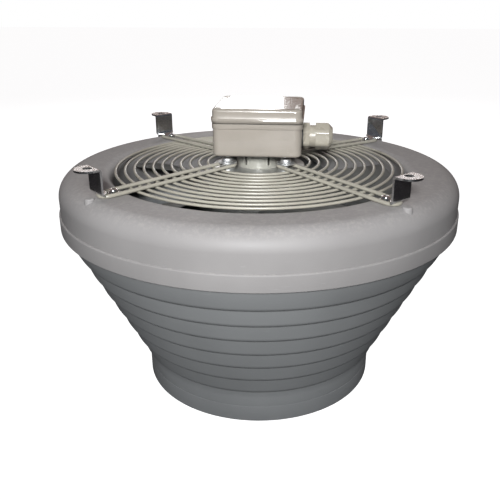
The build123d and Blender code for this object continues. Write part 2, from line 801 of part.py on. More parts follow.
# ---------------------------------------------------------------- impeller
# One-piece moulding: a hub that grips the rotor can, and five wide twisted blades.
def blade_section(reach, chord, pitch, camber):
    """Cambered strip across the blade, square to the blade's length, on its own plane."""
    across = (0, cos(radians(pitch)), sin(radians(pitch)))
    section_plane = Plane(origin=(reach, 0, blade_level), x_dir=across, z_dir=(1, 0, 0))
    half = chord / 2
    edge = blade_thickness / 2
    with BuildSketch(section_plane) as section:
        with BuildLine():
            ThreePointArc((-half, edge), (0, camber + edge), (half, edge))
            Line((half, edge), (half, -edge))
            ThreePointArc((half, -edge), (0, camber - edge), (-half, -edge))
            Line((-half, -edge), (-half, edge))
        make_face()
    return section.sketch


hub_radius = can_radius + hub_wall
hub_low_z = can_floor_z - hub_floor
hub_rim_z = can_top_z - hub_rim_drop
with BuildPart() as blade:
    add(blade_section(hub_radius - blade_root_depth, root_chord, root_pitch, root_camber))
    add(blade_section((hub_radius + blade_tip) / 2, (root_chord + tip_chord) / 2,
                      (root_pitch + tip_pitch) / 2 - mid_pitch_sag, (root_camber + tip_camber) / 2))
    add(blade_section(blade_tip + blade_tip_over, tip_chord, tip_pitch, tip_camber))
    loft()
    with BuildSketch(Plane.XY.offset(can_floor_z)):
        Circle(blade_tip)
        Circle(can_radius + hub_wall / 2, mode=Mode.SUBTRACT)
    extrude(amount=drum_top_z - can_floor_z, mode=Mode.INTERSECT)

with BuildPart() as impeller:
    with BuildSketch(Plane.XZ):
        with BuildLine():
            Polyline((hub_window, hub_low_z), (hub_radius, hub_low_z), (hub_radius, hub_rim_z),
                     (can_radius, hub_rim_z), (can_radius, can_floor_z), (hub_window, can_floor_z),
                     (hub_window, hub_low_z))
        make_face()
    revolve(axis=Axis.Z)
    fillet(impeller.edges().filter_by(GeomType.CIRCLE).group_by(Axis.Z)[0].sort_by(
        SortBy.RADIUS)[-1], radius=hub_edge)
    with PolarLocations(0, blade_count):
        add(blade.part)
    with BuildSketch(Plane.XY.offset(hub_low_z)):
        with PolarLocations(impeller_screw_circle, impeller_screw_count):
            Circle(impeller_screw_radius + screw_fit)
    extrude(amount=hub_floor, mode=Mode.SUBTRACT)
save(impeller, "impeller")

with BuildPart() as impeller_screws:
    with BuildSketch(Plane.XY.offset(hub_low_z)):
        with PolarLocations(impeller_screw_circle, impeller_screw_count):
            Circle(impeller_screw_radius)
    extrude(amount=hub_floor + can_wall)
    with BuildSketch(Plane.XY.offset(hub_low_z)):
        with PolarLocations(impeller_screw_circle, impeller_screw_count):
            Circle(impeller_head_radius)
    extrude(amount=-impeller_head_height)
    fillet(impeller_screws.faces().filter_by(Plane.XY).group_by(Axis.Z)[0].edges(),
           radius=impeller_head_edge)
save(impeller_screws, "impeller_screws")

# ---------------------------------------------------------------- terminal box
# Pedestal between the motor flange and the box, with six vents under the box.
with BuildPart() as box_pedestal:
    with BuildSketch(Plane.XY.offset(flange_top_z)):
        Circle(pedestal_radius)
        Circle(pedestal_radius - pedestal_wall, mode=Mode.SUBTRACT)
        with Locations(*[polar(post_circle, angle) for angle in post_angles]):
            Circle(post_radius)
    extrude(amount=box_floor_z - flange_top_z)
    with BuildSketch(Plane.XY.offset(box_floor_z)):
        with PolarLocations(pedestal_radius, vent_count):
            Rectangle(2 * (pedestal_wall + over_cut), vent_width)
    extrude(amount=-vent_height, mode=Mode.SUBTRACT)
    with BuildSketch(Plane.XY.offset(flange_top_z)):
        with Locations(*[polar(post_circle, angle) for angle in post_angles]):
            Circle(box_screw_radius)
    extrude(amount=box_floor_z - flange_top_z, mode=Mode.SUBTRACT)
save(box_pedestal, "box_pedestal")

with BuildPart() as box_screws:
    with BuildSketch(Plane.XY.offset(flange_low_z)):
        with Locations(*[polar(post_circle, angle) for angle in post_angles]):
            Circle(box_screw_radius)
    extrude(amount=box_inner_floor_z - flange_low_z)
    with BuildSketch(Plane.XY.offset(box_inner_floor_z)):
        with Locations(*[polar(post_circle, angle) for angle in post_angles]):
            Circle(box_head_radius)
    extrude(amount=box_head_height)
    fillet(box_screws.faces().filter_by(Plane.XY).group_by(Axis.Z)[-1].edges(), radius=box_head_edge)
save(box_screws, "box_screws")

lid_posts = [(box_shift + x * (box_width / 2 - lid_post_inset), y * (box_depth / 2 - lid_post_inset))
             for x in (-1, 1) for y in (-1, 1)]
gland_plane = Plane.YZ.offset(gland_face_x)
with BuildPart() as box_base:
    with BuildSketch(Plane.XY.offset(box_floor_z)):
        with Locations((box_shift, 0)):
            RectangleRounded(box_width, box_depth, box_corner)
    extrude(amount=box_rim_z - box_floor_z)
    fillet(box_base.faces().sort_by(Axis.Z)[0].outer_wire().edges(), radius=box_foot_round)
    with BuildSketch(Plane.XY.offset(box_rim_z)):
        with Locations((box_shift, 0)):
            RectangleRounded(box_width + 2 * box_band_proud, box_depth + 2 * box_band_proud,
                             box_corner + box_band_proud)
    extrude(amount=-box_band)
    with BuildSketch(Plane.XY.offset(box_inner_floor_z)):
        with Locations((box_shift, 0)):
            RectangleRounded(box_width - 2 * box_wall, box_depth - 2 * box_wall, box_corner - box_wall)
    extrude(amount=box_rim_z - box_inner_floor_z, mode=Mode.SUBTRACT)
    with BuildSketch(Plane.XY.offset(box_inner_floor_z)):
        with Locations(*lid_posts):
            Circle(lid_post_radius)
    extrude(amount=box_rim_z - box_inner_floor_z)
    with BuildSketch(Plane.YZ.offset(gland_face_x - box_wall)):
        with Locations((0, gland_z)):
            Circle(gland_boss)
    extrude(amount=-gland_boss_depth)
    with BuildSketch(Plane.XY.offset(box_floor_z - gland_boss)):
        with Locations((box_shift, 0)):
            Rectangle(box_width, box_depth)
    extrude(amount=gland_boss, mode=Mode.SUBTRACT)
    with BuildSketch(gland_plane):
        with Locations((0, gland_z)):
            Circle(gland_thread / 2)
    extrude(amount=-(box_wall + gland_boss_depth), mode=Mode.SUBTRACT)
    with BuildSketch(Plane.XY.offset(box_rim_z)):
        with Locations(*lid_posts):
            Circle(lid_screw_radius + lid_screw_fit)
    extrude(amount=-lid_screw_length, mode=Mode.SUBTRACT)
    with BuildSketch(Plane.XY.offset(box_floor_z)):
        Circle(wire_window)
        with Locations((lead_circle, 0)):
            Circle(lead_hole)
        with Locations(*[polar(post_circle, angle) for angle in post_angles]):
            Circle(box_screw_radius + screw_fit)
    extrude(amount=box_wall, mode=Mode.SUBTRACT)
save(box_base, "box_base")

with BuildPart() as lid_gasket:
    with BuildSketch(Plane.XY.offset(box_rim_z)):
        with Locations((box_shift, 0)):
            RectangleRounded(box_width, box_depth, box_corner)
            RectangleRounded(box_width - 2 * gasket_width, box_depth - 2 * gasket_width,
                             box_corner - gasket_width, mode=Mode.SUBTRACT)
    extrude(amount=gasket_height)
save(lid_gasket, "lid_gasket")

lid_width = box_width + 2 * (box_band_proud + lid_overhang)
lid_depth = box_depth + 2 * (box_band_proud + lid_overhang)
lid_corner = box_corner + box_band_proud + lid_overhang
lid_stages = [(0, lid_lip, lid_lip_inset), (lid_lip, lid_bead_top, 0),
              (lid_bead_top, lid_height, lid_face_inset)]
with BuildPart() as box_lid:
    for low, high, inset in lid_stages:
        with BuildSketch(Plane.XY.offset(lid_z + low)):
            with Locations((box_shift, 0)):
                RectangleRounded(lid_width - 2 * inset, lid_depth - 2 * inset, lid_corner - inset)
        extrude(amount=high - low)
    fillet(box_lid.faces().sort_by(Axis.Z)[-1].outer_wire().edges(), radius=lid_round)
    with BuildSketch(Plane.XY.offset(lid_z)):
        with Locations((box_shift, 0)):
            RectangleRounded(box_width - 2 * box_wall, box_depth - 2 * box_wall, box_corner - box_wall)
        with Locations(*lid_posts):
            Circle(lid_post_radius, mode=Mode.SUBTRACT)
    extrude(amount=lid_height - box_wall, mode=Mode.SUBTRACT)
    with BuildSketch(Plane.XY.offset(lid_top_z)):
        with Locations(*lid_posts):
            Circle(lid_screw_head + lid_recess_fit)
    extrude(amount=-(lid_screw_head_height + lid_recess_depth), mode=Mode.SUBTRACT)
    with BuildSketch(Plane.XY.offset(lid_z)):
        with Locations(*lid_posts):
            Circle(lid_screw_radius + lid_screw_fit)
    extrude(amount=lid_height, mode=Mode.SUBTRACT)
save(box_lid, "box_lid")

lid_seat_z = lid_top_z - lid_screw_head_height - lid_recess_depth
with BuildPart() as lid_screws:
    with BuildSketch(Plane.XY.offset(lid_seat_z - lid_screw_length)):
        with Locations(*lid_posts):
            Circle(lid_screw_radius)
    extrude(amount=lid_screw_length)
    with BuildSketch(Plane.XY.offset(lid_seat_z)):
        with Locations(*lid_posts):
            Circle(lid_screw_head)
    extrude(amount=lid_screw_head_height)
    fillet(lid_screws.faces().filter_by(Plane.XY).group_by(Axis.Z)[-1].edges(),
           radius=lid_screw_head_edge)
    with BuildSketch(Plane.XY.offset(lid_seat_z + lid_screw_head_height)):
        with Locations(*lid_posts):
            Rectangle(lid_slot_length, lid_slot_width)
            Rectangle(lid_slot_width, lid_slot_length)
    extrude(amount=-lid_slot_depth, mode=Mode.SUBTRACT)
save(lid_screws, "lid_screws")

# ---------------------------------------------------------------- inside the box
capacitor_z = box_inner_floor_z + clip_sheet + capacitor_radius
capacitor_end = capacitor_x - capacitor_length / 2
with BuildPart() as capacitor:
    with BuildSketch(Plane.YZ.offset(capacitor_end)):
        with Locations((capacitor_y, capacitor_z)):
            Circle(capacitor_radius)
    extrude(amount=capacitor_length)
    fillet(capacitor.edges().filter_by(GeomType.CIRCLE), radius=capacitor_edge)
save(capacitor, "capacitor")

with BuildPart() as capacitor_clip:
    with BuildSketch(Plane.YZ.offset(capacitor_x - clip_width / 2)):
        with Locations((capacitor_y, capacitor_z)):
            Circle(capacitor_radius + clip_sheet)
            Circle(capacitor_radius, mode=Mode.SUBTRACT)
            with Locations((0, capacitor_radius)):
                Rectangle(clip_mouth, capacitor_radius, mode=Mode.SUBTRACT)
    extrude(amount=clip_width)
save(capacitor_clip, "capacitor_clip")

terminal_pitch = block_length / terminal_count
block_top_z = box_inner_floor_z + block_height
entry_z = box_inner_floor_z + entry_rise
front_y = block_y - block_width / 2
with BuildPart() as terminal_block:
    with BuildSketch(Plane.XY.offset(box_inner_floor_z)):
        with Locations((block_x, block_y)):
            Rectangle(block_length, block_width)
    extrude(amount=block_height)
    chamfer(terminal_block.faces().sort_by(Axis.Z)[-1].edges(), length=block_edge)
    with BuildSketch(Plane.XZ.offset(-front_y)):
        with Locations((block_x, entry_z)):
            with GridLocations(terminal_pitch, 0, terminal_count, 1):
                Circle(core_radius + entry_fit)
    extrude(amount=-entry_depth, mode=Mode.SUBTRACT)
    with BuildSketch(Plane.XY.offset(block_top_z)):
        with Locations((block_x, block_y)):
            with GridLocations(terminal_pitch, 0, terminal_count, 1):
                Circle(terminal_screw_radius + terminal_fit)
    extrude(amount=-terminal_well_depth, mode=Mode.SUBTRACT)
save(terminal_block, "terminal_block")

with BuildPart() as terminal_screws:
    with BuildSketch(Plane.XY.offset(block_top_z - terminal_well_depth)):
        with Locations((block_x, block_y)):
            with GridLocations(terminal_pitch, 0, terminal_count, 1):
                Circle(terminal_screw_radius)
    extrude(amount=terminal_screw_height)
    with BuildSketch(Plane.XY.offset(block_top_z - terminal_well_depth + terminal_screw_height)):
        with Locations((block_x, block_y)):
            with GridLocations(terminal_pitch, 0, terminal_count, 1):
                Rectangle(terminal_slot_length, terminal_slot_width)
    extrude(amount=-slot_depth, mode=Mode.SUBTRACT)
save(terminal_screws, "terminal_screws")

earth_x = box_shift - earth_inset
earth_base_z = box_inner_floor_z + earth_base_height
with BuildPart() as earth_screw:
    with BuildSketch(Plane.XY.offset(box_inner_floor_z)):
        with Locations((earth_x, earth_y)):
            Circle(earth_base_radius)
    extrude(amount=earth_base_height)
    with BuildSketch(Plane.XY.offset(earth_base_z)):
        with Locations((earth_x, earth_y)):
            Circle(earth_head_radius)
    extrude(amount=earth_head_height)
    with BuildSketch(Plane.XY.offset(earth_base_z + earth_head_height)):
        with Locations((earth_x, earth_y)):
            Rectangle(2 * (earth_head_radius + over_cut), earth_slot_width)
    extrude(amount=-slot_depth, mode=Mode.SUBTRACT)
save(earth_screw, "earth_screw")

# Sheathed lead from the coils up through the pedestal, and its three cores.
winding_top_z = stator_z + stator_stack + winding_height
sheath_top_z = entry_z
lead_level_z = (winding_top_z + flange_low_z) / 2
with BuildPart() as motor_lead:
    with BuildLine() as lead_path:
        FilletPolyline((lead_start, 0, winding_top_z), (lead_start, 0, lead_level_z),
                       (lead_circle, 0, lead_level_z), (lead_circle, 0, sheath_top_z), radius=lead_bend)
    with BuildSketch(Plane(origin=lead_path.line @ 0, z_dir=lead_path.line % 0)):
        Circle(lead_radius)
    sweep(path=lead_path.line)
save(motor_lead, "motor_lead")

with BuildPart() as lead_cores:
    for number in range(core_count):
        core_x = lead_circle + (number - (core_count - 1) / 2) * core_pitch
        end_x = block_x + (number + 1 - core_count / 2) * terminal_pitch
        turn_z = sheath_top_z + core_rise + number * core_spread
        with BuildLine() as core_path:
            FilletPolyline((core_x, 0, sheath_top_z), (core_x, 0, turn_z),
                           (end_x, front_y - core_drop, turn_z), (end_x, front_y - core_level, entry_z),
                           (end_x, front_y + core_entry, entry_z), radius=core_bend)
        with BuildSketch(Plane(origin=core_path.line @ 0, z_dir=core_path.line % 0)):
            Circle(core_radius)
        sweep(path=core_path.line)
save(lead_cores, "lead_cores")

# ---------------------------------------------------------------- cable gland
gland_axis = Axis((0, 0, gland_z), (1, 0, 0))


def gland_turning(points):
    """Body turned about the gland's axis from (x, radius) points."""
    with BuildPart() as body:
        with BuildSketch(Plane.XZ):
            with BuildLine():
                corners = [(x, gland_z + radius) for x, radius in points]
                Polyline(*corners, corners[0])
            make_face()
        revolve(axis=gland_axis)
    return body


def trim_to_hex(low_x, high_x):
    """Hexagonal sleeve to cut away round a turned body between two places."""
    with BuildPart() as body:
        with BuildSketch(Plane.YZ.offset(low_x)):
            with Locations((0, gland_z)):
                Circle(2 * gland_round)
                RegularPolygon(gland_flats / 2, 6, major_radius=False, rotation=30, mode=Mode.SUBTRACT)
        extrude(amount=high_x - low_x)
    return body.part


thread_end_x = gland_face_x - box_wall - gland_boss_depth
seal_x = gland_nut_x + gland_nut - gland_nut_cone - gland_seal_length
body_end_x = seal_x + gland_seal_length - gland_seal_proud
with BuildPart() as gland_body:
    add(gland_turning([
        (thread_end_x, gland_bore), (thread_end_x, gland_thread / 2),
        (gland_hex_x, gland_thread / 2), (gland_hex_x, gland_round),
        (gland_neck_x, gland_round), (gland_neck_x, gland_neck_radius),
        (body_end_x, gland_neck_radius), (body_end_x, gland_seal_bore + gland_seal_wall),
        (seal_x, gland_seal_bore + gland_seal_wall), (seal_x, gland_bore),
    ]).part)
    add(trim_to_hex(gland_hex_x, gland_neck_x), mode=Mode.SUBTRACT)
save(gland_body, "gland_body")

save(gland_turning([
    (gland_face_x, gland_thread / 2), (gland_face_x, gland_boss),
    (gland_hex_x, gland_boss), (gland_hex_x, gland_thread / 2),
]), "gland_washer")

save(gland_turning([
    (seal_x, gland_seal_bore), (seal_x, gland_seal_bore + gland_seal_wall),
    (seal_x + gland_seal_length, gland_seal_bore + gland_seal_wall),
    (seal_x + gland_seal_length, gland_seal_bore),
]), "gland_seal")

with BuildPart() as gland_nut_body:
    add(gland_turning([
        (gland_nut_x, gland_neck_radius + nut_fit), (gland_nut_x, gland_round),
        (gland_end_x - gland_nut_cone, gland_round), (gland_end_x, gland_mouth + gland_nut_lip),
        (gland_end_x, gland_mouth), (gland_end_x - gland_nut_cone, gland_mouth),
        (gland_end_x - gland_nut_cone, gland_neck_radius + nut_fit),
    ]).part)
    add(trim_to_hex(gland_nut_x, gland_end_x), mode=Mode.SUBTRACT)
save(gland_nut_body, "gland_nut")
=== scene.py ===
from math import cos, radians, sin

import bmesh
import bpy
import numpy as np
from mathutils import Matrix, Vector


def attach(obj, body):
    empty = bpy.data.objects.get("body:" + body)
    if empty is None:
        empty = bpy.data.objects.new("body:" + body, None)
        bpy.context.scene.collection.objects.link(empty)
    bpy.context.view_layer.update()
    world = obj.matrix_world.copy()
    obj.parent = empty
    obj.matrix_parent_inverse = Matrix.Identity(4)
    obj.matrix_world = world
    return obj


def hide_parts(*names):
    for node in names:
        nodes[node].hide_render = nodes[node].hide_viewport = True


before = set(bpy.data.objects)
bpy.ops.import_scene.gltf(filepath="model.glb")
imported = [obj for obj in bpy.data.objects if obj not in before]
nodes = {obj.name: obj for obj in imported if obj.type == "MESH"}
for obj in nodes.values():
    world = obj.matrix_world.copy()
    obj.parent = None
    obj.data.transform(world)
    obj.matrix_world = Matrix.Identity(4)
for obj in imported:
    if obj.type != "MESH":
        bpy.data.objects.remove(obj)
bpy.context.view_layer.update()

# Camera. It stands a little to the gland's side of the front, above the guard,
# and looks down at the fan as a person at a bench would.
camera_distance = 0.694
camera_turn = radians(4.98)
camera_height = 0.4297
camera_pitch = radians(22.19)
camera_lens = 44.76
camera_shift = -0.018
camera = bpy.data.objects.new("camera", bpy.data.cameras.new("camera"))
bpy.context.scene.collection.objects.link(camera)
camera.location = (camera_distance * sin(camera_turn), -camera_distance * cos(camera_turn),
                   camera_height)
camera.rotation_euler = (radians(90) - camera_pitch, 0, camera_turn)
camera.data.sensor_width = 36
camera.data.lens = camera_lens
camera.data.shift_x = camera_shift
bpy.context.scene.camera = camera

# Casing, outlet end. The neck ring is a plain moulded ring of satin mid-grey
# plastic with a small rounding outside, and its thin rim plugs into the cone's neck.


def rounded(corners, blend, steps=6):
    """Outline through corner points with every corner blended into a quadratic curve.

    Each corner becomes start*(1-t)^2 + corner*2t(1-t) + end*t^2, where start and
    end lie on the two sides, blend away from the corner or less on a short side.
    """
    corners = np.array(corners, float)
    before, after = np.roll(corners, 1, 0) - corners, np.roll(corners, -1, 0) - corners
    long_before = np.linalg.norm(before, axis=1, keepdims=True)
    long_after = np.linalg.norm(after, axis=1, keepdims=True)
    reach = np.broadcast_to(np.array(blend, float).reshape(-1, 1), long_before.shape)
    start = corners + before / long_before * np.minimum(reach, long_before * 0.45)
    end = corners + after / long_after * np.minimum(reach, long_after * 0.45)
    t = np.linspace(0, 1, steps).reshape(1, -1, 1)
    curve = (start[:, None] * (1 - t) ** 2 + corners[:, None] * 2 * t * (1 - t)
             + end[:, None] * t**2)
    return curve.reshape(-1, 2)


def surface(name, grid, closed_u=True, closed_v=True, sharp=40):
    """Mesh object from a grid of points, joined into quads, wrapped where it closes."""
    rows, columns = grid.shape[:2]
    index = np.arange(rows * columns).reshape(rows, columns)
    down = np.roll(index, -1, 0) if closed_u else index[1:]
    here = index if closed_u else index[:-1]
    right_here, right_down = np.roll(here, -1, 1), np.roll(down, -1, 1)
    faces = np.stack([here, right_here, right_down, down], -1)
    if not closed_v:
        faces = faces[:, :-1]
    mesh = bpy.data.meshes.new(name)
    mesh.from_pydata(grid.reshape(-1, 3), [], faces.reshape(-1, 4).tolist())
    work = bmesh.new()
    work.from_mesh(mesh)
    bmesh.ops.remove_doubles(work, verts=work.verts, dist=1e-6)
    bmesh.ops.dissolve_degenerate(work, edges=work.edges, dist=1e-7)
    bmesh.ops.recalc_face_normals(work, faces=work.faces)
    work.to_mesh(mesh)
    work.free()
    mesh.shade_smooth()
    mesh.set_sharp_from_angle(angle=radians(sharp))
    piece = bpy.data.objects.new(name, mesh)
    bpy.context.scene.collection.objects.link(piece)
    return piece


def turned(name, outline, around=288, centre=(0, 0), sharp=40):
    """Closed outline of (radius, height) points swept round a vertical axis.

    The point at outline place u and angle a is (r(u) cos a, r(u) sin a, z(u)).
    """
    outline = np.array(outline, float)
    a = np.linspace(0, 2 * np.pi, around, endpoint=False)
    x = centre[0] + outline[:, :1] * np.cos(a)
    y = centre[1] + outline[:, :1] * np.sin(a)
    z = np.repeat(outline[:, 1:], around, 1)
    return surface(name, np.stack([x, y, z], -1), sharp=sharp)


def add_node(tree, kind, place=(0, 0), **settings):
    """Shader node with its inputs set or linked by name; names use _ for spaces."""
    node = tree.nodes.new(kind)
    node.location = place
    for key, value in settings.items():
        if hasattr(node, key):
            setattr(node, key, value)
            continue
        socket = node.inputs[int(key[2:])] if key.startswith("in") and key[2:].isdigit() else \
            node.inputs[key.replace("_", " ")]
        if isinstance(value, bpy.types.NodeSocket):
            tree.links.new(value, socket)
        else:
            socket.default_value = value
    return node


def new_finish(name, **sockets):
    """Empty material with its Principled shader, and Object coordinates to work from."""
    material = bpy.data.materials.new(name)
    material.use_nodes = True
    tree = material.node_tree
    shader = tree.nodes["Principled BSDF"]
    for key, value in sockets.items():
        shader.inputs[key.replace("_", " ")].default_value = value
    place = tree.nodes.new("ShaderNodeTexCoord").outputs["Object"]
    return material, tree, shader, place


def noise(tree, place, scale, detail=4, roughness=0.55, distortion=0.0):
    """Noise value between 0 and 1 at this many features per metre."""
    return add_node(tree, "ShaderNodeTexNoise", Vector=place, Scale=scale, Detail=detail,
                    Roughness=roughness, Distortion=distortion).outputs["Fac"]


def between(tree, value, low, high, to_low=0.0, to_high=1.0):
    """Value from low..high carried smoothly to to_low..to_high."""
    return add_node(tree, "ShaderNodeMapRange", interpolation_type="SMOOTHSTEP", Value=value,
                    From_Min=low, From_Max=high, To_Min=to_low, To_Max=to_high).outputs["Result"]


def tinted(tree, amount, first, second):
    """Colour that goes from first to second as amount goes from 0 to 1."""
    mix = add_node(tree, "ShaderNodeMix", data_type="RGBA")
    for socket, value in ((mix.inputs[0], amount), (mix.inputs[6], first), (mix.inputs[7], second)):
        if isinstance(value, bpy.types.NodeSocket):
            tree.links.new(value, socket)
        else:
            socket.default_value = value if isinstance(value, float) else (*value, 1)[:4]
    return mix.outputs[2]


def shade(colour, amount):
    """Colour made darker or lighter by a factor."""
    return [c * amount for c in colour]


def multiplied(tree, first, second):
    """Product of two values."""
    return add_node(tree, "ShaderNodeMath", operation="MULTIPLY", in0=first, in1=second).outputs[0]


def feed(tree, shader, **sources):
    """Link values, colours or a normal into the shader's inputs by name; names use _ for spaces."""
    for key, source in sources.items():
        tree.links.new(source, shader.inputs[key.replace("_", " ")])


def bumped(tree, height, distance, strength=1.0, below=None):
    """Surface normal tipped by a height that is this many metres deep."""
    settings = {"Height": height, "Distance": distance, "Strength": strength}
    if below is not None:
        settings["Normal"] = below
    return add_node(tree, "ShaderNodeBump", **settings).outputs["Normal"]


def moulded_grey(name, colour, roughness, dust=0.25):
    """Satin moulding: mottled pigment, faint scuffs, a fine grain, and dust where it faces up."""
    material, tree, shader, place = new_finish(name, Specular_IOR_Level=0.36)
    cloud = noise(tree, place, 9, 5)
    mottled = tinted(tree, between(tree, cloud, 0.3, 0.7), shade(colour, 0.94), shade(colour, 1.05))
    upward = add_node(tree, "ShaderNodeSeparateXYZ", Vector=add_node(
        tree, "ShaderNodeNewGeometry").outputs["Normal"]).outputs["Z"]
    speckle = noise(tree, place, 240, 6, 0.7)
    lying = multiplied(tree, between(tree, upward, 0.35, 0.98), between(tree, speckle, 0.42, 0.68, 0.0, dust))
    dusty = tinted(tree, lying, mottled, (0.47, 0.44, 0.41))
    stretched = add_node(tree, "ShaderNodeMapping", Vector=place, Scale=(60, 60, 900)).outputs[0]
    scuff = between(tree, noise(tree, stretched, 1.0, 3, 0.6, 0.4), 0.66, 0.74)
    scuffed = tinted(tree, multiplied(tree, scuff, 0.10), dusty, (0.55, 0.55, 0.55))
    grain = bumped(tree, noise(tree, place, 2200, 3, 0.6), 0.00003)
    feed(tree, shader, Base_Color=scuffed,
         Roughness=between(tree, cloud, 0.25, 0.75, roughness - 0.05, roughness + 0.06),
         Normal=bumped(tree, noise(tree, place, 14, 2), 0.0005, 0.3, grain))
    return material


# Collar and funnel share the drum's plastic; this grey is a darker copy of the drum's grey, which is painted
# shade on the lower casing.
casing_grey_painted_shade = moulded_grey("casing_grey_painted_shade", (0.235, 0.240, 0.242), 0.56)
outlet_radius = 0.1362
outlet_bore = 0.1306
collar_height = 0.0193
neck_wall = 0.0033
plug_radius = outlet_radius - neck_wall
plug_top = 0.0308
collar_corners = [(outlet_bore, 0), (outlet_radius, 0), (outlet_radius, collar_height),
                  (plug_radius, collar_height), (plug_radius, plug_top), (outlet_bore, plug_top)]
collar_blends = [0.0005, 0.0022, 0.0005, 0.0003, 0.0003, 0.0005]
collar_ring = turned("collar_ring", rounded(collar_corners, collar_blends))
collar_ring.data.materials.append(casing_grey_painted_shade)
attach(collar_ring, "casing")
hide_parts("outlet_collar")

# Casing, middle. The funnel is one moulding stepped in below each of its seven
# ribs, with a plain neck at the foot and a rim that plugs into the drum.
cone_top = 0.2198
cone_fall = 0.504
seam_z = 0.1975
groove_first = 0.172
groove_count = 7
groove_pitch = 0.0219
groove_tuck = 0.0024
groove_half = 0.0015
groove_lip = 0.001
neck_top = 0.0323


def funnel_line(inset):
    """Stepped line from the seam down to the collar, moved towards the axis by inset."""
    groove = groove_first - np.arange(groove_count) * groove_pitch
    crest = np.stack([cone_top - cone_fall * (seam_z - groove - groove_half), groove + groove_half], -1)
    valley_radius = cone_top - cone_fall * (seam_z - groove + groove_half) - groove_tuck
    valley = np.stack([np.maximum(valley_radius, outlet_radius + groove_lip), groove - groove_half], -1)
    steps = np.stack([crest, valley], 1).reshape(-1, 2)
    neck = [(outlet_radius, neck_top), (outlet_radius, collar_height)]
    return np.vstack([[(cone_top, seam_z)], steps, neck]) - (inset, 0)


rim_outer = 0.2183
rim_top = 0.2115
crest_blend = 0.0030
valley_blend = 0.0012
edge_blend = 0.0004
funnel_outside = funnel_line(0)
funnel_inside = funnel_line(neck_wall)[::-1]
funnel_corners = np.vstack([funnel_outside, funnel_inside,
                            [(cone_top - neck_wall, rim_top), (rim_outer, rim_top), (rim_outer, seam_z)]])
funnel_blends = np.full(len(funnel_corners), crest_blend)
funnel_blends[2:len(funnel_outside) - 2:2] = valley_blend
funnel_blends[[0, len(funnel_outside) - 1, len(funnel_outside)]] = edge_blend
funnel_blends[-4:] = edge_blend
funnel = turned("funnel", rounded(funnel_corners, funnel_blends))
funnel.data.materials.append(casing_grey_painted_shade)
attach(funnel, "casing")
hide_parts("cone_housing")

# Casing, inlet end. The drum carries the bell mouth, the flat annulus for the
# guard, the rolled shoulder and a proud band at its foot; four small stops stand
# behind the brackets.
drum_radius = 0.2215
drum_top = 0.2522
drum_roll = 0.020
drum_wall = 0.003
band_radius = 0.2232
band_top = 0.215
band_ramp = 0.0012
throat_radius = 0.1635
mouth_roll = 0.012
throat_depth = 0.047
throat_foot = drum_top - throat_depth


def arc(centre, radius, first, last, steps=20):
    """Points on a circle from one angle to another, in degrees."""
    a = np.radians(np.linspace(first, last, steps))
    return np.stack([centre[0] + radius * np.cos(a), centre[1] + radius * np.sin(a)], -1)


shoulder = (drum_radius - drum_roll, drum_top - drum_roll)
mouth = (throat_radius + mouth_roll, drum_top - mouth_roll)
drum_outline = np.vstack([
    [(throat_radius, throat_foot)], arc(mouth, mouth_roll, 180, 90), arc(shoulder, drum_roll, 90, 0, 28),
    rounded([(drum_radius, band_top), (band_radius, band_top - band_ramp), (band_radius, seam_z),
             (drum_radius - drum_wall, seam_z)], [0.0006, 0.0008, 0.0012, 0.0003]),
    arc(shoulder, drum_roll - drum_wall, 0, 90), arc(mouth, mouth_roll - drum_wall, 90, 180),
    [(throat_radius + drum_wall, throat_foot)]])
drum = turned("drum", drum_outline, around=360)

stop_circle = 0.2086
stop_radius = 0.0050
stop_top = drum_top + 0.0018
stop_root = stop_top - 0.010
stop_flare = 0.0006
stop_roll = 0.0016
spoke_angles = np.radians([45, 135, 225, 315])
stop_outline = np.vstack([[(0, stop_root), (stop_radius + stop_flare, stop_root)],
                          arc((stop_radius - stop_roll, stop_top - stop_roll), stop_roll, 0, 90, 8),
                          [(0, stop_top)]])
stops = [turned(f"stop_{number}", stop_outline, 40, (stop_circle * cos(a), stop_circle * sin(a)))
         for number, a in enumerate(spoke_angles)]


def joined(first, others):
    """One piece made of several meshes, kept apart as separate shells."""
    work = bmesh.new()
    for piece in [first, *others]:
        work.from_mesh(piece.data)
    work.to_mesh(first.data)
    work.free()
    for piece in others:
        bpy.data.objects.remove(piece)
    return first


drum = joined(drum, stops)
drum.data.materials.append(moulded_grey("drum_grey", (0.272, 0.260, 0.256), 0.56))
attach(drum, "casing")
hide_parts("drum_housing")

# Motor, fixed side. The flange with its four lugs and bearing tube is one die
# casting; the laminated core is pressed on the tube and carries varnished coils.


def smoothed(node, body, finish, sharp=32):
    """Copy of a CAD node with its triangles merged and shaded smooth between its edges.

    Its shading normals lean towards the larger faces, so that flats beside roundings stay flat.
    """
    mesh = nodes[node].data.copy()
    work = bmesh.new()
    work.from_mesh(mesh)
    bmesh.ops.remove_doubles(work, verts=work.verts, dist=2e-6)
    bmesh.ops.dissolve_degenerate(work, edges=work.edges, dist=1e-7)
    work.to_mesh(mesh)
    work.free()
    mesh.materials.clear()
    mesh.materials.append(finish)
    mesh.shade_smooth()
    mesh.set_sharp_from_angle(angle=radians(sharp))
    piece = bpy.data.objects.new(node + "_finished", mesh)
    bpy.context.scene.collection.objects.link(piece)
    flat_faces = piece.modifiers.new("flat_faces", "WEIGHTED_NORMAL")
    flat_faces.keep_sharp = True
    flat_faces.weight = 80
    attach(piece, body)
    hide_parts(node)
    return piece


def cast_metal(name, colour, roughness):
    """Die-cast aluminium: pebbled skin, cloudy tone and darker, rougher patches."""
    material, tree, shader, place = new_finish(name, Metallic=0.85)
    cloud = noise(tree, place, 45, 6, 0.65)
    feed(tree, shader, Base_Color=tinted(tree, between(tree, cloud, 0.3, 0.72), shade(colour, 0.72), colour),
         Roughness=between(tree, cloud, 0.3, 0.7, roughness + 0.12, roughness - 0.06),
         Normal=bumped(tree, noise(tree, place, 900, 4, 0.7), 0.00012))
    return material


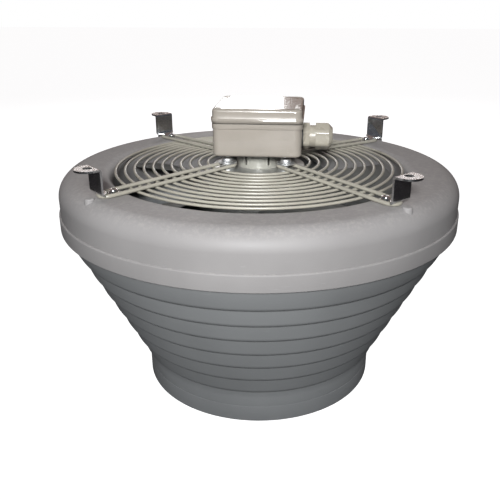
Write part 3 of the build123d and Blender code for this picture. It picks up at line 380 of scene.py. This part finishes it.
cast_aluminium = cast_metal("cast_aluminium", (0.62, 0.62, 0.60), 0.42)
smoothed("motor_flange", "casing", cast_aluminium)


full_turn = 6.283


def turned_metal(name, colour, roughness, ring_scale=2600.0, wear=0.25):
    """Machined or drawn metal: fine rings round the axis and faint darker stains."""
    material, tree, shader, place = new_finish(name, Metallic=1.0)
    lines = add_node(tree, "ShaderNodeTexWave", wave_type="RINGS", rings_direction="Z", Vector=place,
                     Scale=ring_scale / full_turn, Distortion=0.6, Detail=2.0).outputs["Fac"]
    stain = noise(tree, place, 70, 5, 0.6)
    worn = shade(colour, 1 - wear)
    feed(tree, shader, Base_Color=tinted(tree, between(tree, stain, 0.35, 0.75), colour, worn),
         Roughness=between(tree, stain, 0.3, 0.7, roughness - 0.05, roughness + 0.1),
         Normal=bumped(tree, lines, 0.00002, 0.6))
    return material


ground_steel = turned_metal("ground_steel", (0.60, 0.60, 0.61), 0.22)
spring_blue = turned_metal("spring_blue", (0.28, 0.29, 0.33), 0.32)
core_steel = turned_metal("core_steel", (0.26, 0.25, 0.25), 0.5, 9000.0)


def varnished_coils(name):
    """Enamelled copper under amber varnish: packed strands, glossy, with painted shade in the gaps between
    them.
    """
    material, tree, shader, place = new_finish(name, Metallic=0.7, Coat_Weight=0.5, Coat_Roughness=0.2)
    strand = add_node(tree, "ShaderNodeTexWave", Vector=place, Scale=330.0, Distortion=2.5, Detail=2.0,
                      bands_direction="Z").outputs["Fac"]
    # The dark end of the strand colour is painted shade in the gaps between strands.
    feed(tree, shader, Base_Color=tinted(tree, strand, (0.16, 0.05, 0.02), (0.62, 0.27, 0.12)),
         Roughness=between(tree, strand, 0, 1, 0.5, 0.28), Normal=bumped(tree, strand, 0.0003))
    return material


coil_copper = varnished_coils("coil_copper")
for node, finish, slot in (("stator_core", core_steel, "lamination_steel"),
                           ("stator_windings", coil_copper, "copper_winding"),
                           ("upper_bearing_outer", ground_steel, "bearing_steel"),
                           ("lower_bearing_outer", ground_steel, "bearing_steel"),
                           ("preload_washer", spring_blue, "spring_steel")):
    smoothed(node, "casing", finish)

# Motor, turning side. A black pressed can with the cast cage inside it turns on
# the shaft; the inner races go round with the shaft and the balls at their own pace.
can_black = turned_metal("can_black", (0.028, 0.028, 0.030), 0.42, 3000.0, 0.5)
can_black.node_tree.nodes["Principled BSDF"].inputs["Metallic"].default_value = 0.2
cage_cast = cast_metal("cage_cast", (0.55, 0.55, 0.55), 0.4)
pressed_cage = turned_metal("pressed_cage", (0.52, 0.47, 0.38), 0.34)
for node, body, finish, slot in (("rotor_can", "rotor", can_black, "motor_steel"),
                                 ("rotor_ring", "rotor", cage_cast, "rotor_aluminium"),
                                 ("shaft", "rotor", ground_steel, "bearing_steel"),
                                 ("shaft_circlip", "rotor", spring_blue, "spring_steel"),
                                 ("upper_bearing_inner", "rotor", ground_steel, "bearing_steel"),
                                 ("lower_bearing_inner", "rotor", ground_steel, "bearing_steel"),
                                 ("upper_bearing_balls", "upper_cage", ground_steel, "bearing_steel"),
                                 ("lower_bearing_balls", "lower_cage", ground_steel, "bearing_steel"),
                                 ("upper_bearing_cage", "upper_cage", pressed_cage, "cage_steel"),
                                 ("lower_bearing_cage", "lower_cage", pressed_cage, "cage_steel")):
    smoothed(node, body, finish)

# Impeller. Hub and five wide, twisted, slightly cupped blades are one moulding of
# dark glass-filled plastic, held on the can by four screws.
hub_radius = 0.0545
hub_inner = 0.0510
hub_foot = 0.173
hub_top = 0.237
can_floor = 0.176
hub_window = 0.020
blade_tip = 0.1575
blade_level = 0.215
blade_half_thick = 0.0016
blade_count = 5
blade_root_lap = 0.0015
blade_rows = 40
section_points = 49
blade_reach = np.array([0.0425, 0.106, 0.1605])
blade_chord = np.array([0.058, 0.108, 0.158])
blade_pitch = np.radians([38.0, 24.75, 17.5])
blade_camber = np.array([0.005, 0.007, 0.009])


def blade_sheet(name, turn):
    """One blade: a closed strip round the section, carried from the hub to the tip.

    Across the chord the middle line is camber*(1-s^2), s from -1 to 1; chord, pitch
    and camber vary with reach as the parabola through three stations. Each point is
    moved along the reach until its distance from the axis is the wanted radius.
    """
    s = np.concatenate([np.linspace(-1, 1, section_points), np.linspace(1, -1, section_points)])
    ends = np.clip((1 - np.abs(s)) * 18, 0, 1) ** 0.5
    thick = np.where(np.arange(s.size) < section_points, 1, -1) * blade_half_thick * ends
    target = np.linspace(hub_inner + blade_root_lap, blade_tip, blade_rows)[:, None]
    reach = target * np.ones_like(s)
    for _ in range(6):
        chord, pitch, camber = (np.polyval(np.polyfit(blade_reach, row, 2), reach)
                                for row in (blade_chord, blade_pitch, blade_camber))
        along = s * chord / 2
        up = camber * (1 - s**2) + thick
        y = along * np.cos(pitch) - up * np.sin(pitch)
        reach = np.sqrt(np.maximum(target**2 - y**2, 1e-6))
    z = blade_level + along * np.sin(pitch) + up * np.cos(pitch)
    x = reach * np.cos(turn) - y * np.sin(turn)
    y = reach * np.sin(turn) + y * np.cos(turn)
    grid = np.stack([x, y, z], -1)
    ends_closed = np.concatenate([grid[:1].mean(1, keepdims=True) * np.ones_like(grid[:1]), grid,
                                  (grid[-1:] + grid[-1:, ::-1]) / 2])
    return surface(name, ends_closed, closed_u=False)


hub_outline = rounded([(hub_window, hub_foot), (hub_radius, hub_foot), (hub_radius, hub_top),
                       (hub_inner, hub_top), (hub_inner, can_floor), (hub_window, can_floor)],
                      [0.0006, 0.0028, 0.0008, 0.0008, 0.0003, 0.0006])
blades = [blade_sheet(f"blade_{number}", number * 2 * np.pi / blade_count) for number in range(blade_count)]
fan_wheel = joined(turned("fan_wheel", hub_outline, 180), blades)


def filled_plastic(name, colour, roughness):
    """Dark glass-filled moulding: swirled flow marks and fibre sparkle."""
    material, tree, shader, place = new_finish(name, Specular_IOR_Level=0.5)
    swirl = noise(tree, place, 16, 5, 0.6, 1.8)
    fibre = noise(tree, place, 1300, 2, 0.5)
    tone = tinted(tree, between(tree, swirl, 0.3, 0.7), shade(colour, 0.8), shade(colour, 1.25))
    feed(tree, shader,
         Base_Color=tinted(tree, between(tree, fibre, 0.62, 0.8, 0.0, 0.3), tone, (0.4, 0.4, 0.38)),
         Roughness=between(tree, swirl, 0.3, 0.7, roughness - 0.06, roughness + 0.08),
         Normal=bumped(tree, fibre, 0.00005))
    return material


fan_wheel.data.materials.append(filled_plastic("wheel_plastic", (0.115, 0.117, 0.112), 0.42))
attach(fan_wheel, "rotor")
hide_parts("impeller")


def zinc_plate(name, scale=220.0, polish=0.15):
    """Zinc-plated steel: crystals of slightly different tone, faint yellow bloom and rub marks."""
    material, tree, shader, place = new_finish(name, Metallic=1.0)
    crystal = add_node(tree, "ShaderNodeTexVoronoi", Vector=place, Scale=scale).outputs["Color"]
    tone = add_node(tree, "ShaderNodeSeparateColor", Color=crystal).outputs[0]
    bloom = noise(tree, place, 60, 4, 0.6)
    plated = tinted(tree, between(tree, tone, 0, 1), (0.72, 0.73, 0.74), (0.80, 0.80, 0.80))
    patches = add_node(tree, "ShaderNodeMath", operation="ADD", in0=bloom, in1=tone).outputs[0]
    rub = add_node(tree, "ShaderNodeMapping", Vector=place, Scale=(300, 1800, 300)).outputs[0]
    feed(tree, shader,
         Base_Color=tinted(tree, between(tree, bloom, 0.42, 0.75, 0.0, 0.45), plated, (0.58, 0.56, 0.50)),
         Roughness=between(tree, patches, 0.4, 1.4, polish, polish + 0.07),
         Normal=bumped(tree, noise(tree, rub, 1.0, 3, 0.6), 0.00002))
    return material


bright_zinc = zinc_plate("bright_zinc", 900.0)
smoothed("impeller_screws", "rotor", bright_zinc)

# Finger guard. Eleven rings of thin wire are welded under four hairpins of thicker
# wire that fall a little to the rim, and the whole is dipped in pebble-grey plastic.
spoke_wire = 0.002
ring_wire = 0.0015
spoke_half = 0.0084
spoke_inner = 0.045
spoke_outer = 0.190
spoke_fall = 0.035
spoke_end = spoke_outer + spoke_half
spoke_low = drum_top + spoke_wire
weld_bite = 0.00015
hoop_count = 11
hoop_outer = 0.160
hoop_pitch = 0.01022
bend_steps = 24
straight_steps = 30
wire_sides = 20


def hairpin(name, angle):
    """Closed wire loop: two straights and two half circles on a plane tipped to the rim.

    The wire's skin at path place p and angle a is the path plus wire radius times
    (cos a * sideways + sin a * plane normal), so the section stays square to the path.
    """
    turn = np.linspace(-np.pi / 2, np.pi / 2, bend_steps)
    run = spoke_outer - spoke_inner
    far = np.stack([run + spoke_half * np.cos(turn), spoke_half * np.sin(turn)], -1)
    near = np.stack([-spoke_half * np.cos(turn), -spoke_half * np.sin(turn)], -1)
    straight = np.linspace(0.02, 0.98, straight_steps) * run
    out = np.stack([straight, np.full(straight_steps, -spoke_half)], -1)
    back = np.stack([straight[::-1], np.full(straight_steps, spoke_half)], -1)
    path = np.vstack([out, far, back, near])
    step = np.roll(path, -1, 0) - np.roll(path, 1, 0)
    sideways = np.stack([step[:, 1], -step[:, 0]], -1) / np.linalg.norm(step, axis=1, keepdims=True)
    a = np.linspace(0, 2 * np.pi, wire_sides, endpoint=False)
    flat = path[:, None] + spoke_wire * np.cos(a)[None, :, None] * sideways[:, None]
    radius = spoke_inner + flat[..., 0]
    lift = spoke_low + spoke_fall * (spoke_end - radius) + spoke_wire * np.sin(a)[None]
    x = radius * np.cos(angle) - flat[..., 1] * np.sin(angle)
    y = radius * np.sin(angle) + flat[..., 1] * np.cos(angle)
    return surface(name, np.stack([x, y, lift], -1))


def dipped_wire(name, colour):
    """Plastic-dipped wire: satin, softly lumpy, with small darker specks of dust."""
    material, tree, shader, place = new_finish(name, Specular_IOR_Level=0.55, Coat_Weight=0.15,
                                               Coat_Roughness=0.25)
    cloud = noise(tree, place, 38, 5, 0.6)
    speck = noise(tree, place, 520, 3, 0.6)
    clean = tinted(tree, between(tree, cloud, 0.3, 0.7), shade(colour, 0.93), shade(colour, 1.05))
    feed(tree, shader,
         Base_Color=tinted(tree, between(tree, speck, 0.6, 0.76, 0.0, 0.5), clean, shade(colour, 0.62)),
         Roughness=between(tree, cloud, 0.3, 0.7, 0.27, 0.42),
         Normal=bumped(tree, noise(tree, place, 260, 2), 0.00018, 0.6))
    return material


guard_dip = dipped_wire("guard_dip", (0.31, 0.292, 0.245))
hairpins = [hairpin(f"hairpin_{number}", a) for number, a in enumerate(spoke_angles)]
guard_hairpins = joined(hairpins[0], hairpins[1:])
guard_hairpins.name = "guard_hairpins"
hoops = []
for number in range(hoop_count):
    hoop_radius = hoop_outer - hoop_pitch * number
    hoop_z = spoke_low + spoke_fall * (spoke_end - hoop_radius) - spoke_wire - ring_wire + weld_bite
    hoops.append(turned(f"hoop_{number}", arc((hoop_radius, hoop_z), ring_wire, 0, 340, 18), 220))
guard_hoops = joined(hoops[0], hoops[1:])
guard_hoops.name = "guard_hoops"
for piece, node in ((guard_hairpins, "guard_spokes"), (guard_hoops, "guard_rings")):
    piece.data.materials.append(guard_dip)
    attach(piece, "casing")
    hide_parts(node)

# Brackets and their fixings. The straps are sheared, bent and zinc plated; pan-head
# screws and washers hold them down into brass inserts in the drum.
strap_zinc = zinc_plate("strap_zinc", 700.0, 0.20)
insert_brass = turned_metal("insert_brass", (0.62, 0.44, 0.19), 0.3)
for node in ("bracket_front", "bracket_front_gland", "bracket_rear", "bracket_rear_gland"):
    smoothed(node, "casing", strap_zinc)
for node in ("bracket_screws", "bracket_washers", "box_screws"):
    smoothed(node, "casing", bright_zinc)
tumbled_zinc = zinc_plate("tumbled_zinc", 900.0, 0.42)
for node in ("motor_screws", "motor_washers"):
    smoothed(node, "casing", tumbled_zinc)
smoothed("bracket_inserts", "casing", insert_brass)

# Terminal box. Pedestal, base and lid are glossy beige-grey mouldings; a grey
# gasket lies in the joint and four screws stay captive in the lid.


def glossy_beige(name, colour, roughness):
    """Polished-tool moulding: glossy skin over soft waviness, faint flow lines, finger smears."""
    material, tree, shader, place = new_finish(name, Specular_IOR_Level=0.55, Coat_Weight=0.6,
                                               Coat_Roughness=0.05)
    cloud = noise(tree, place, 26, 5, 0.6)
    flow = add_node(tree, "ShaderNodeMapping", Vector=place, Scale=(20, 20, 170)).outputs[0]
    line = noise(tree, flow, 1.0, 3, 0.6)
    tone = tinted(tree, between(tree, cloud, 0.3, 0.7), shade(colour, 0.95), shade(colour, 1.04))
    feed(tree, shader,
         Base_Color=tinted(tree, between(tree, line, 0.5, 0.8, 0.0, 0.22), tone, shade(colour, 0.82)),
         Roughness=between(tree, cloud, 0.3, 0.72, roughness, roughness + 0.12),
         Normal=bumped(tree, noise(tree, place, 60, 2), 0.00012, 0.4))
    return material


box_beige = glossy_beige("box_beige", (0.262, 0.236, 0.204), 0.16)
pedestal_beige = glossy_beige("pedestal_beige", (0.262, 0.256, 0.226), 0.36)
black_rubber = filled_plastic("black_rubber", (0.018, 0.018, 0.019), 0.62)
smoothed("box_pedestal", "casing", pedestal_beige)
smoothed("box_base", "casing", box_beige)
smoothed("box_lid", "lid", box_beige)
grey_rubber = filled_plastic("grey_rubber", (0.17, 0.155, 0.135), 0.6)
smoothed("lid_gasket", "lid", grey_rubber)
smoothed("lid_screws", "lid", bright_zinc)

# Inside the box. Run capacitor in its spring clip, terminal block, earth screw,
# and the motor's sheathed lead with its three cores.
capacitor_can = turned_metal("capacitor_can", (0.68, 0.69, 0.70), 0.3)
terminal_white = glossy_beige("terminal_white", (0.68, 0.67, 0.62), 0.4)
core_brown = filled_plastic("core_brown", (0.16, 0.055, 0.02), 0.4)
sheath_black = filled_plastic("sheath_black", (0.03, 0.03, 0.032), 0.5)
for node, finish, slot in (("capacitor", capacitor_can, "capacitor_case"),
                           ("capacitor_clip", spring_blue, "spring_steel"),
                           ("terminal_block", terminal_white, "terminal_plastic"),
                           ("terminal_screws", bright_zinc, "zinc_plate"),
                           ("earth_screw", insert_brass, "insert_brass"),
                           ("motor_lead", sheath_black, "lead_sheath"),
                           ("lead_cores", core_brown, "core_insulation")):
    smoothed(node, "casing", finish)

# Cable gland. Hexagon body and dome nut are light beige nylon, with a rubber
# sealing sleeve inside and a flat washer against the box.
gland_nylon = glossy_beige("gland_nylon", (0.31, 0.285, 0.235), 0.24)
smoothed("gland_body", "casing", gland_nylon)
smoothed("gland_nut", "dome_nut", gland_nylon)
smoothed("gland_washer", "casing", black_rubber)
smoothed("gland_seal", "casing", black_rubber)

# Studio. Plain pale floor in a room that is dim to the object and white to the
# camera. One soft, narrow-spread key stands over the camera, and a panel behind
# is mirrored by the box lid and by the flanges of the brackets.
floor_mesh = bpy.data.meshes.new("floor")
floor_reach = 9
floor_corners = [(-floor_reach, -floor_reach, 0), (floor_reach, -floor_reach, 0),
                 (floor_reach, floor_reach, 0), (-floor_reach, floor_reach, 0)]
floor_mesh.from_pydata(floor_corners, [], [(0, 1, 2, 3)])
floor = bpy.data.objects.new("floor", floor_mesh)
bpy.context.scene.collection.objects.link(floor)
floor_paint, floor_tree, floor_shader, floor_place = new_finish("floor_paint", Roughness=0.9,
                                                                Specular_IOR_Level=0.1)
seen = add_node(floor_tree, "ShaderNodeLightPath").outputs["Is Camera Ray"]
floor_tone = tinted(floor_tree, noise(floor_tree, floor_place, 2), (0.62, 0.62, 0.62), (0.66, 0.66, 0.66))
floor_shader.inputs["Emission Color"].default_value = (1, 1, 1, 1)
feed(floor_tree, floor_shader, Base_Color=tinted(floor_tree, seen, (0.09, 0.09, 0.095), floor_tone),
     Emission_Strength=between(floor_tree, seen, 0, 1, 0.0, 0.90))
floor_mesh.materials.append(floor_paint)

room = bpy.data.worlds.new("room")
room.use_nodes = True
room_tree = room.node_tree
toward = add_node(room_tree, "ShaderNodeSeparateXYZ",
                  Vector=room_tree.nodes.new("ShaderNodeTexCoord").outputs["Generated"]).outputs["Y"]
walls = tinted(room_tree, between(room_tree, toward, -0.3, 0.9), (0.050, 0.063, 0.082), (0.25, 0.18, 0.155))
backdrop = add_node(room_tree, "ShaderNodeLightPath").outputs["Is Camera Ray"]
feed(room_tree, room_tree.nodes["Background"], Color=tinted(room_tree, backdrop, walls, (1.0, 1.0, 1.0)))
bpy.context.scene.world = room
bpy.context.scene.view_settings.view_transform = "Standard"


def panel(name, place, aim, size, power, spread=180, colour=(1, 1, 1)):
    """Rectangular soft light at a place, turned to face a point."""
    lamp = bpy.data.lights.new(name, "AREA")
    lamp.shape = "RECTANGLE"
    lamp.size, lamp.size_y = size
    lamp.energy = power
    lamp.spread = radians(spread)
    lamp.color = colour
    holder = bpy.data.objects.new(name, lamp)
    bpy.context.scene.collection.objects.link(holder)
    holder.location = place
    holder.rotation_euler = (Vector(aim) - Vector(place)).to_track_quat("-Z", "Y").to_euler()


panel("key", (0.04, -1.25, 0.80), (0, -0.1, 0.34), (0.3, 0.25), 2.0, 42, (0.985, 1.0, 1.01))
panel("lid_mirror", (-0.27, 2.0, 0.66), (0, 0, 0.32), (0.40, 0.22), 2.2)
panel("flange_mirror", (-0.2, 2.0, 0.90), (0, 0, 0.28), (1.9, 0.12), 1.8)
